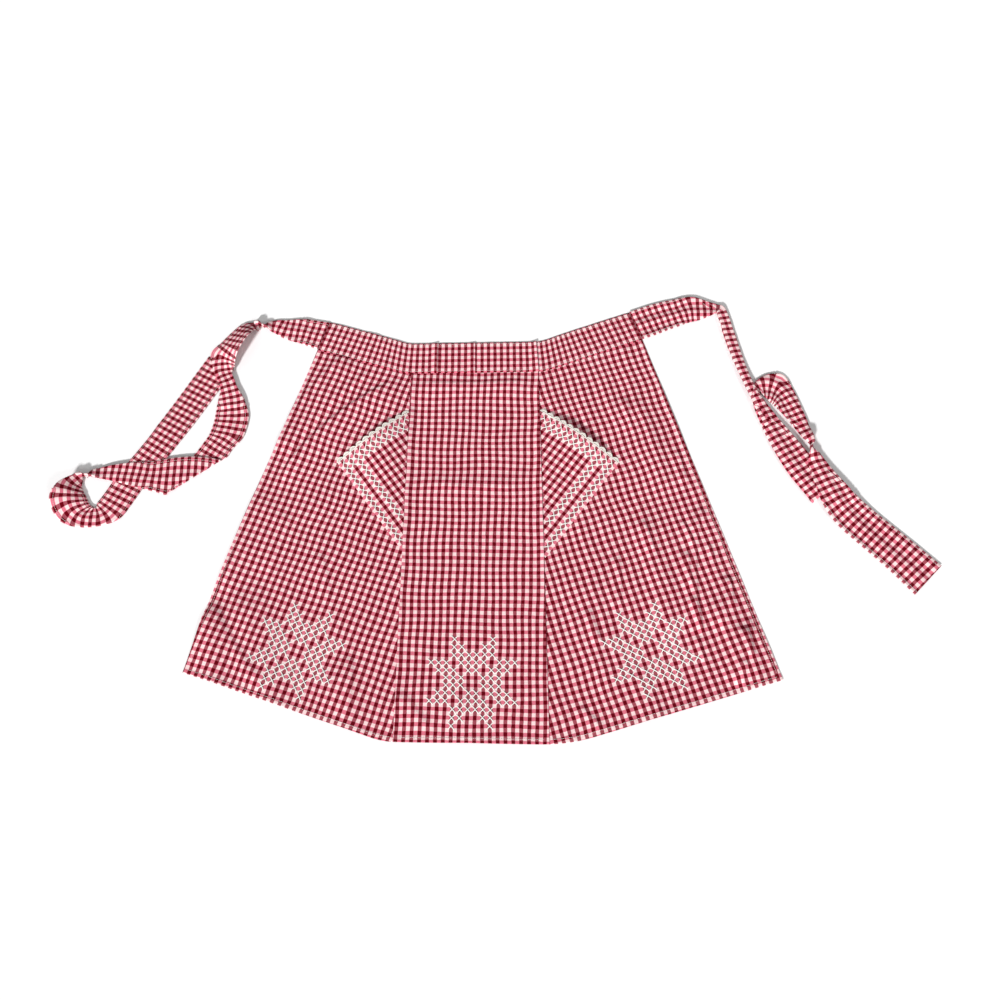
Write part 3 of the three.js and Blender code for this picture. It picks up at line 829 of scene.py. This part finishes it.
# The four ends of the two arms of crosses at some middles, in checks, each a little off its place
def cross_ends(middles):
    count = len(middles)
    starts, ends, over = [], [], []
    for k, way in enumerate(((0.5, 0.5), (-0.5, 0.5))):
        way = np.array(way)
        starts.append(middles - way + rng.normal(0, cross_scatter, (count, 2)))
        ends.append(middles + way + rng.normal(0, cross_scatter, (count, 2)))
        over.append(np.full(count, float(k)))
    return np.concatenate(starts), np.concatenate(ends), np.concatenate(over)


def star(panel):
    middles = []
    for row, cells in enumerate(star_chart):
        middles += [(column - 5, 6 - row) for column, cell in enumerate(cells) if cell == "X"]
    middles = np.array(middles)
    starts, ends, over = cross_ends(middles)
    starts = place_of_checks(panel, starts[:, 0], starts[:, 1])
    ends = place_of_checks(panel, ends[:, 0], ends[:, 1])
    return threads(f"{panel}_star", cross_strands(starts, ends, over, panel_top), cross_thread, thread_white)


stars = {panel: star(panel) for panel in panels}


# Crosses on a pocket: rows beside its mouth and its lower side, up to this share of the way to the seam
furthest_cross = 0.965
pocket_cross_height = 0.8 * mm


def pocket_crosses(side):
    sizes = pocket_sizes[side]
    top, outer, bottom = pocket_corners(side)
    ways = np.array([(top - outer) / sizes["mouth"], (bottom - outer) / sizes["lower"]])

    def height_at(flat):
        local = (flat - outer) @ np.linalg.inv(ways)
        return on_pocket(side, local[..., 0], local[..., 1])[1] + pocket_cross_height

    scale = np.array([check_across, check_along])
    middles = []
    for v in range(0, math.floor(sizes["lower"] / check_along) + 1):
        for u in range(-1, math.floor(sizes["mouth"] / check_across)):
            across, along = (np.array([u, v]) + pocket_first_check) * scale
            if across / sizes["mouth"] + along / sizes["lower"] < furthest_cross and (v < 2 or u in (-1, 1)):
                middles.append((u, v))
    starts, ends, over = cross_ends(np.array(middles, float))
    starts, ends = (outer + ((spots + pocket_first_check) * scale) @ ways for spots in (starts, ends))
    lines = cross_strands(starts, ends, over, height_at)
    return threads(f"{side}_pocket_crosses", lines, cross_thread, thread_white)


crosses = {side: pocket_crosses(side) for side in pockets}


# Trim: a scalloped edging that stands out from the pocket's mouth, bound by cords
trim_depth = 6.5 * mm
scallop_pitch = 12 * mm
cord_radius = 0.42 * mm
trim_middle = 0.75 * mm
trim_half = 0.35 * mm
rib_height = 0.1 * mm
ribs_per_scallop = 6
cord_wobble = 0.12 * mm
trim_levels = (-1.0, -0.8, -0.2, 0.6, 1.2, 1.4)
trim_fullness = (0.3, 0.8, 1, 1, 0.8, 0.3)


def pocket_trim(side):
    top, outer, _ = pocket_corners(side)
    run = outer - top
    outward = unit(np.array([run[1], -run[0]])) * (1 if side == "left" else -1)
    scallops = round(np.linalg.norm(run) / scallop_pitch)
    along = np.linspace(0, 1, scallops * 20 + 1)
    edge = top + run * along[:, None]
    base = panel_top(edge) + pocket_lift + gape_at(along, 0 * along)
    levels = np.array(trim_levels) * mm
    points = edge[:, None, :] + outward * levels[None, :, None]
    full = np.array(trim_fullness)[None, :]
    middle = base[:, None] + trim_middle + 0 * levels[None, :]
    ribs = rib_height * np.cos(2 * math.pi * along * scallops * ribs_per_scallop)[:, None]
    under = with_height(points, middle - trim_half * full)
    upper = with_height(points, middle + (trim_half + ribs) * full)
    uv = np.stack([along[:, None] * scallops + 0 * levels, 0 * along[:, None] + levels / trim_depth], -1)
    solid = cloth_solid(f"{side}_pocket_edging", under, upper, uv, trim_white)
    swell = np.abs(np.sin(math.pi * along * scallops)) ** 0.75
    lines = []
    for reach, lift in ((1.0, 0.35), (0.82, 0.6), (0.5, 0.7)):
        depth = 1.0 * mm + (trim_depth * 0.86 - 1.0 * mm) * swell * reach
        wobble = cord_wobble * np.sin(2 * math.pi * along * scallops * 5 + reach * 9)
        lines.append(with_height(edge + outward * (depth + wobble)[:, None], base + lift * mm))
    for spoke in range(scallops):
        for turn in (0.3, 0.5, 0.7):
            mark = (spoke + turn) / scallops
            foot = top + run * ((spoke + mix(0.5, turn, 0.5)) / scallops)
            tip = trim_depth * 0.84 * math.sin(math.pi * turn) ** 0.75
            level = float(panel_top(foot) + pocket_lift + gape_at(mark, 0.0))
            reach = np.linspace(0.6 * mm, tip, 4)
            flat = mix(foot, top + run * mark, (reach / tip)[:, None]) + outward * reach[:, None]
            lines.append(with_height(flat, level + np.linspace(0.8, 0.45, 4) * mm))
    cords = threads(f"{side}_pocket_cords", lines, cord_radius, trim_white)
    return solid, cords


trims = {side: pocket_trim(side) for side in pockets}


# Ties: one row for each section, much as in the solid model, where the left tie's straps are tilted less.
# A row holds the middle as shares of the tie's reach from the waistband's end, the way the section faces in
# degrees, its spread as a share of the tie's width, its roll in degrees, and the layers of cloth under it.
# Each tie has a leg out and a leg back, which meet where it is folded flat on itself.
def end_faces(distance):
    return float(np.degrees(heading_on(waist_line, np.array(distance)))) - 90


left_tie_out = [
    (0, 0, end_faces(left_end), 0.98, 0, 0),
    (-0.09, 0.02, -91, 0.87, 0, 0),
    (-0.16, 0.03, -95, 0.66, 0, 0),
    (-0.22, 0.045, -92, 0.4, 0, 0),
    (-0.265, 0.045, -72, 0.17, 90, 0),
    (-0.305, 0.035, -52, 0.52, 204, 0.3),
    (-0.34, -0.01, -50, 0.93, 212, 0.3),
    (-0.38, -0.075, -39, 1.0, 208, 0.4),
    (-0.41, -0.13, -30, 0.94, 186, 1),
    (-0.405, -0.175, -12, 0.62, 180, 1),
    (-0.375, -0.24, 4, 0.48, 180, 1),
    (-0.35, -0.32, 1, 0.8, 180, 0.3),
    (-0.34, -0.395, -3, 1, 180, 0),
    (-0.35, -0.47, -6, 1, 180, 0),
    (-0.385, -0.535, -2, 0.96, 180, 0),
    (-0.45, -0.655, 37, 1.6, 180, 0),
]
left_tie_back = [
    (-0.45, -0.655, 37, 1.6, 180, 1),
    (-0.62, -0.663, 98, 0.95, 180, 1),
    (-0.71, -0.656, 103, 0.74, 180, 1),
    (-0.79, -0.652, 106, 0.5, 180, 0.9),
    (-0.852, -0.655, 110, 0.3, 168, 0.4),
    (-0.895, -0.662, 125, 0.18, 90, 0),
    (-0.915, -0.68, 150, 0.34, 38, 0),
    (-0.932, -0.72, 175, 0.7, 36, 0),
    (-0.926, -0.78, 187, 1.02, 24, 0),
    (-0.9, -0.825, 206, 0.98, 6, 0),
    (-0.855, -0.842, 240, 0.68, 0, 0),
    (-0.815, -0.84, 288, 0.56, 0, 0),
    (-0.788, -0.828, 317, 0.7, 0, 0),
    (-0.77, -0.808, 330, 0.86, 0, 0),
    (-0.712, -0.69, 336, 0.88, 0, 0),
    (-0.612, -0.515, 339, 0.88, 0, 0),
    (-0.522, -0.345, 339, 0.92, 0, 0),
    (-0.452, -0.205, 335, 0.92, 0, 0),
    (-0.418, -0.137, 331, 0.92, 0, 0),
]
right_tie_out = [
    (0, 0, end_faces(right_end), 0.92, 0, 0),
    (0.092, 0.036, -87, 0.96, 0, 0),
    (0.157, 0.058, -93, 0.92, 0, 0),
    (0.242, 0.08, -94, 0.76, 0, 0),
    (0.297, 0.08, -97, 0.5, 0, 0),
    (0.344, 0.076, -132, 0.3, 0, 0.3),
    (0.359, 0.036, -167, 0.28, 0, 0.2),
    (0.379, -0.061, -174, 0.31, 0, 0),
    (0.401, -0.154, -174, 0.28, 0, 0),
    (0.427, -0.249, -172, 0.24, 0, 0.6),
    (0.451, -0.319, -160, 0.24, 0, 1),
    (0.481, -0.39, -150, 0.4, 0, 1),
    (0.519, -0.475, -149, 0.56, 0, 1),
    (0.556, -0.547, -147, 0.68, 0, 1),
    (0.605, -0.636, -144, 0.76, 0, 1),
    (0.677, -0.749, -142, 0.74, 0, 1),
]
right_tie_back = [
    (0.677, -0.749, -142, 0.74, 0, 0),
    (0.57, -0.58, -145, 0.56, 0, 0),
    (0.49, -0.424, -150, 0.28, 0, 0),
    (0.459, -0.339, -170, 0.2, 0, 0),
    (0.46, -0.303, -215, 0.18, 0, 0),
    (0.475, -0.285, -258, 0.4, 0, 0),
    (0.503, -0.28, -277, 0.7, 0, 0),
    (0.548, -0.294, -291, 0.95, 0, 0),
    (0.583, -0.352, -300, 0.78, 0, 0.1),
    (0.612, -0.421, -311, 0.54, 0, 0.4),
    (0.636, -0.487, -325, 0.33, 0, 0.9),
    (0.652, -0.55, -338, 0.2, 90, 1.6),
    (0.665, -0.612, -352, 0.42, 180, 2.2),
    (0.686, -0.668, -350, 0.58, 180, 2.2),
    (0.709, -0.723, -345, 0.74, 180, 1.9),
    (0.737, -0.78, -338, 0.88, 180, 1.3),
    (0.786, -0.843, -329, 0.97, 180, 0.3),
    (0.85, -0.907, -324, 0.98, 180, 0),
    (0.941, -0.998, -320, 1, 180, 0),
    (1.021, -1.087, -315, 1.05, 180, 0),
]
row_spacing = 17 * mm
fine_spacing = 2.4 * mm
crease_steps = 8
tuck_step = 1.1 * mm
tuck_turn = 0.9 * mm
tuck_limits = (0.82, 0.93)
tie_columns_between_hems = 48
wrinkles_across = 2.2
wrinkle_swing = 0.9
swing_length = 45 * mm
fold_length = 3 * mm


# Values between the rows of a table, by smooth curves that never swing past the rows
def smooth_rows(rows, scale):
    rows = np.array(rows, float)
    steps = np.linalg.norm(np.diff(rows[:, :2], axis=0), axis=1)
    gaps = np.maximum(steps, row_spacing / scale / 2)
    rates = np.diff(rows, axis=0) / gaps[:, None]
    slopes = np.empty_like(rows)
    slopes[0], slopes[-1] = rates[0], rates[-1]
    before, after = rates[:-1], rates[1:]
    together = np.where(before * after > 0, before + after, 1)
    slopes[1:-1] = np.where(before * after > 0, 2 * before * after / together, 0)
    sections = []
    for i, gap in enumerate(gaps):
        count = max(2, round(gap * scale / fine_spacing))
        t = np.linspace(0, 1, count + 1)[0 if i == 0 else 1:, None]
        sections.append(
            (1 + 2 * t) * (1 - t) ** 2 * rows[i] + t * (1 - t) ** 2 * gap * slopes[i]
            + t * t * (3 - 2 * t) * rows[i + 1] - t * t * (1 - t) * gap * slopes[i + 1]
        )
    return np.concatenate(sections)


def tie_columns(width):
    hem = np.array([0, 0.25, 0.9, 2.4, 4.6, 5.6]) * mm / width
    middle = np.linspace(hem[-1], 1 - hem[-1], tie_columns_between_hems + 2)[1:-1]
    return np.concatenate([hem, middle, 1 - hem[::-1]])


# The middle surface of a tie, edge to edge. Where the strap is narrower than its cloth, its edges turn under.
def tie_sections(sections, tie, shares, marks):
    x, y, faces, spread, roll, layer = (sections[:, k, None] for k in range(6))
    width = spread * tie["width"]
    roll = np.radians(roll)
    faces = np.radians(faces)
    side = np.abs(np.sin(roll))
    cloth_width = mix(width, tie["width"], smoothstep(-spread, -tuck_limits[1], -tuck_limits[0]))
    half = width / 2
    reach = (shares - 0.5)[None, :] * cloth_width
    place = (1 - np.abs(np.mod(reach / half + 1, 4) - 2)) * half
    turns = [smoothstep(np.abs(reach), k * half - tuck_turn, k * half + tuck_turn) for k in (1, 3, 5)]
    level = turns[0] * np.where(reach > 0, 2, 1) + 2 * turns[1] + 2 * turns[2]
    facing = np.cos(roll) / np.sqrt(np.cos(roll) ** 2 + 0.01)
    across = np.concatenate([np.cos(faces) * np.cos(roll), np.sin(faces) * np.cos(roll), np.sin(roll)], 1)
    normal = np.concatenate([-np.cos(faces) * np.sin(roll), -np.sin(faces) * np.sin(roll), np.cos(roll)], 1)
    stack = level.max(axis=1, keepdims=True) * tuck_step
    middle = np.concatenate([
        tie["start"][0] + x * tie["reach"],
        tie["start"][1] + y * tie["reach"],
        tie_cloth / 2 + layer * (tie_cloth + layer_gap) + stack * np.abs(np.cos(roll)) + half * side,
    ], 1)
    points = middle[:, None, :] + across[:, None, :] * place[..., None]
    points = points - normal[:, None, :] * (level * tuck_step * facing)[..., None]
    swing = wrinkle_swing * np.sin(marks / swing_length + tie["phase"])[:, None]
    wrinkles = np.sin(2 * math.pi * wrinkles_across * shares[None, :] + swing) + 1
    points[..., 2] += tie["wrinkle"] * (1 - side) * wrinkles
    return points, across, middle, place


def tie_solid(name, tie):
    shares = tie_columns(tie["width"])
    grid, checks = [], []
    mark = 0.0
    last = None
    for leg in tie["legs"]:
        sections = smooth_rows(leg, tie["reach"])
        centres = sections[:, :2] * tie["reach"]
        steps = np.linalg.norm(np.diff(centres, axis=0), axis=1)
        marks = mark + np.concatenate([[0], np.cumsum(steps)])
        points, across, middle, place = tie_sections(sections, tie, shares, marks)
        shear = np.einsum("ij,ij->i", across, unit(np.gradient(middle, axis=0)))
        u = (marks[:, None] + place * shear[:, None]) / check_across
        v = (shares - 0.5)[None, :] * tie["width"] / check_along + 0 * marks[:, None]
        if last is not None:
            low, before, low_checks = last
            edge = low[-1] - low[0]
            outward = unit(np.array([edge[1], -edge[0], 0]))
            if outward @ (before[len(shares) // 2] - low[len(shares) // 2]) > 0:
                outward = -outward
            radius = (tie_cloth + layer_gap) / 2
            for share in np.linspace(0, 1, crease_steps + 1)[1:-1]:
                turn = (1 - math.cos(math.pi * share)) / 2
                row = mix(low, points[0], turn) + outward * radius * math.sin(math.pi * share)
                grid.append(row)
                checks.append(mix(low_checks, np.stack([u[0], v[0]], -1), share))
        grid += list(points)
        checks += list(np.stack([u, v], -1))
        last = (points[-1], points[-2], checks[-1])
        mark = marks[-1] + fold_length
    grid = np.array(grid)
    checks = np.array(checks)
    normals = unit(np.cross(np.gradient(grid, axis=0), np.gradient(grid, axis=1)))
    gap = np.minimum(shares, 1 - shares) * tie["width"]
    cloth = tie_sheet + folded_over(gap, tie_fold)
    half = (cloth / 2 * edge_round(gap, 0.5 * mm))[None, :, None]
    solid = cloth_solid(name, grid - normals * half, grid + normals * half, checks, tie_gingham)
    return solid, grid, normals, shares


def tie_start(distance, outward):
    return point_on(waist_line, np.array(distance + outward * seam_gap), waistband_height / 2)


tie_plans = {
    "left": {
        "start": tie_start(left_end, -1), "legs": (left_tie_out, left_tie_back),
        "reach": 360 * mm, "width": 50 * mm, "phase": 0.4, "wrinkle": 0.3 * mm,
    },
    "right": {
        "start": tie_start(right_end, 1), "legs": (right_tie_out, right_tie_back),
        "reach": 370 * mm, "width": 56 * mm, "phase": 1.7, "wrinkle": 0.85 * mm,
    },
}
ties = {side: tie_solid(f"{side}_tie_cloth", plan) for side, plan in tie_plans.items()}


# Running stitches along a line on the cloth, given from above with its heights
stitch_thread = 0.17 * mm
hem_seam_height = 1.33 * mm
side_seam_height = 1.22 * mm
tie_seam_height = 0.62 * mm
tie_seam_column = 4
band_seam_height = 2.05 * mm
band_seam_inset = 2.6 * mm


def stitches(points, pitch=2.7 * mm, length=1.9 * mm, lift=0.12 * mm):
    steps = np.linalg.norm(np.diff(points, axis=0), axis=1)
    marks = np.concatenate([[0], np.cumsum(steps)])
    lines = []
    for start in np.arange(0.6 * pitch, marks[-1] - pitch, pitch):
        spots = start + np.linspace(0, length, 5)
        line = np.stack([np.interp(spots, marks, points[:, k]) for k in range(3)], -1)
        line[:, 2] += lift * np.array([-1.4, 0.7, 1, 0.7, -1.4])
        lines.append(line)
    return lines


def panel_stitches(panel):
    run = np.linspace(0.004, 0.996, 260)
    hem = place_on(panel, run, np.full(len(run), 1 - 6.0 * mm / skirt_length))
    lines = stitches(with_height(hem, relief(hem) + hem_seam_height))
    if panel != "centre":
        edge = 5.0 * mm / (waist_line[panel] + (hem_line[panel] - waist_line[panel]) * run)
        side = place_on(panel, edge if panel == "left" else 1 - edge, run * 0.985)
        lines += stitches(with_height(side, relief(side) + side_seam_height))
    return threads(f"{panel}_hem_stitches", lines, stitch_thread, thread_white, 5)


def band_stitches():
    along = np.linspace(left_end + 2 * mm, right_end - 2 * mm, 300)
    lines = []
    for away in (band_seam_inset, waistband_height - band_seam_inset):
        line = point_on(waist_line, along, away, band_lean)
        lines += stitches(with_height(line, np.full(len(along), band_seam_height)), lift=0.25 * mm)
    return threads("band_stitches", lines, stitch_thread, thread_white, 5)


def tie_stitches(side):
    _, grid, normals, shares = ties[side]
    lines = []
    for column in (tie_seam_column, len(shares) - 1 - tie_seam_column):
        for sign in (1, -1):
            lines += stitches(grid[:, column] + sign * tie_seam_height * normals[:, column], lift=0.0)
    return threads(f"{side}_tie_stitches", lines, 0.16 * mm, thread_white, 4)


hem_stitches = {panel: panel_stitches(panel) for panel in panels}
band_stitching = band_stitches()
tie_stitching = {side: tie_stitches(side) for side in ties}


# Pieces: each is hung from the root body, and the solid that it stands for is hidden
def settle(piece, node):
    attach(piece, "root")
    if node:
        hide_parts(node)


settle(band, "waistband")
for panel, node in (("left", "left_side_panel"), ("centre", "centre_panel"), ("right", "right_side_panel")):
    settle(panels[panel], node)
for side in ("left", "right"):
    settle(pockets[side], f"{side}_pocket")
    settle(trims[side][0], f"{side}_pocket_trim")
    settle(trims[side][1], None)
    settle(crosses[side], None)
    settle(ties[side][0], f"{side}_tie")
    settle(tie_stitching[side], None)
for panel in panels:
    settle(stars[panel], None)
    settle(hem_stitches[panel], None)
settle(band_stitching, None)

# The floor and the light
floor_reach = 6
corners = [(x * floor_reach, y * floor_reach, 0) for x, y in ((-1, -1), (1, -1), (1, 1), (-1, 1))]
floor = mesh_object("floor", corners, [(0, 1, 2, 3)])
floor.location.z = -0.1 * mm
pale = Net("pale floor")
pale.shader.inputs["Base Color"].default_value = (0.95, 0.95, 0.95, 1)
pale.surface(roughness=0.9, specular=0.1)
floor.data.materials.append(pale.material)

world_strength = 0.36
world = bpy.data.worlds.new("plain light")
bpy.context.scene.world = world
world.use_nodes = True
background = world.node_tree.nodes["Background"]
background.inputs["Color"].default_value = (1, 1, 1, 1)
background.inputs["Strength"].default_value = world_strength


def sun(name, source, strength, angle):
    data = bpy.data.lights.new(name, "SUN")
    data.energy = strength
    data.angle = math.radians(angle)
    placed(name, data).rotation_euler = Vector(source).to_track_quat("Z", "Y").to_euler()


sun("left key", source=(-0.31, -0.84, 0.50), strength=4.25, angle=6)
sun("right key", source=(0.52, -0.70, 0.60), strength=0.5, angle=10)

# The camera: its place, its turn to the left, its tilt below the horizon and its lean to one side
camera_place = (0.0816, -0.7967, 1.2887)
yaw = math.radians(4.0)
tilt = math.radians(66.3)
lean = math.radians(3.13)
level_way = Vector((-math.sin(yaw), math.cos(yaw), 0))
level_right = Vector((math.cos(yaw), math.sin(yaw), 0))
forward = level_way * math.cos(tilt) - Vector((0, 0, math.sin(tilt)))
level_up = level_way * math.sin(tilt) + Vector((0, 0, math.cos(tilt)))
right = level_right * math.cos(lean) - level_up * math.sin(lean)
up = level_right * math.sin(lean) + level_up * math.cos(lean)
lens = bpy.data.cameras.new("camera")
lens.lens = 36
lens.sensor_width = 36
camera = placed("camera", lens)
camera_turn = Matrix((right, up, -forward)).transposed().to_4x4()
camera.matrix_world = Matrix.Translation(camera_place) @ camera_turn
bpy.context.scene.camera = camera
bpy.context.scene.view_settings.view_transform = "Standard"
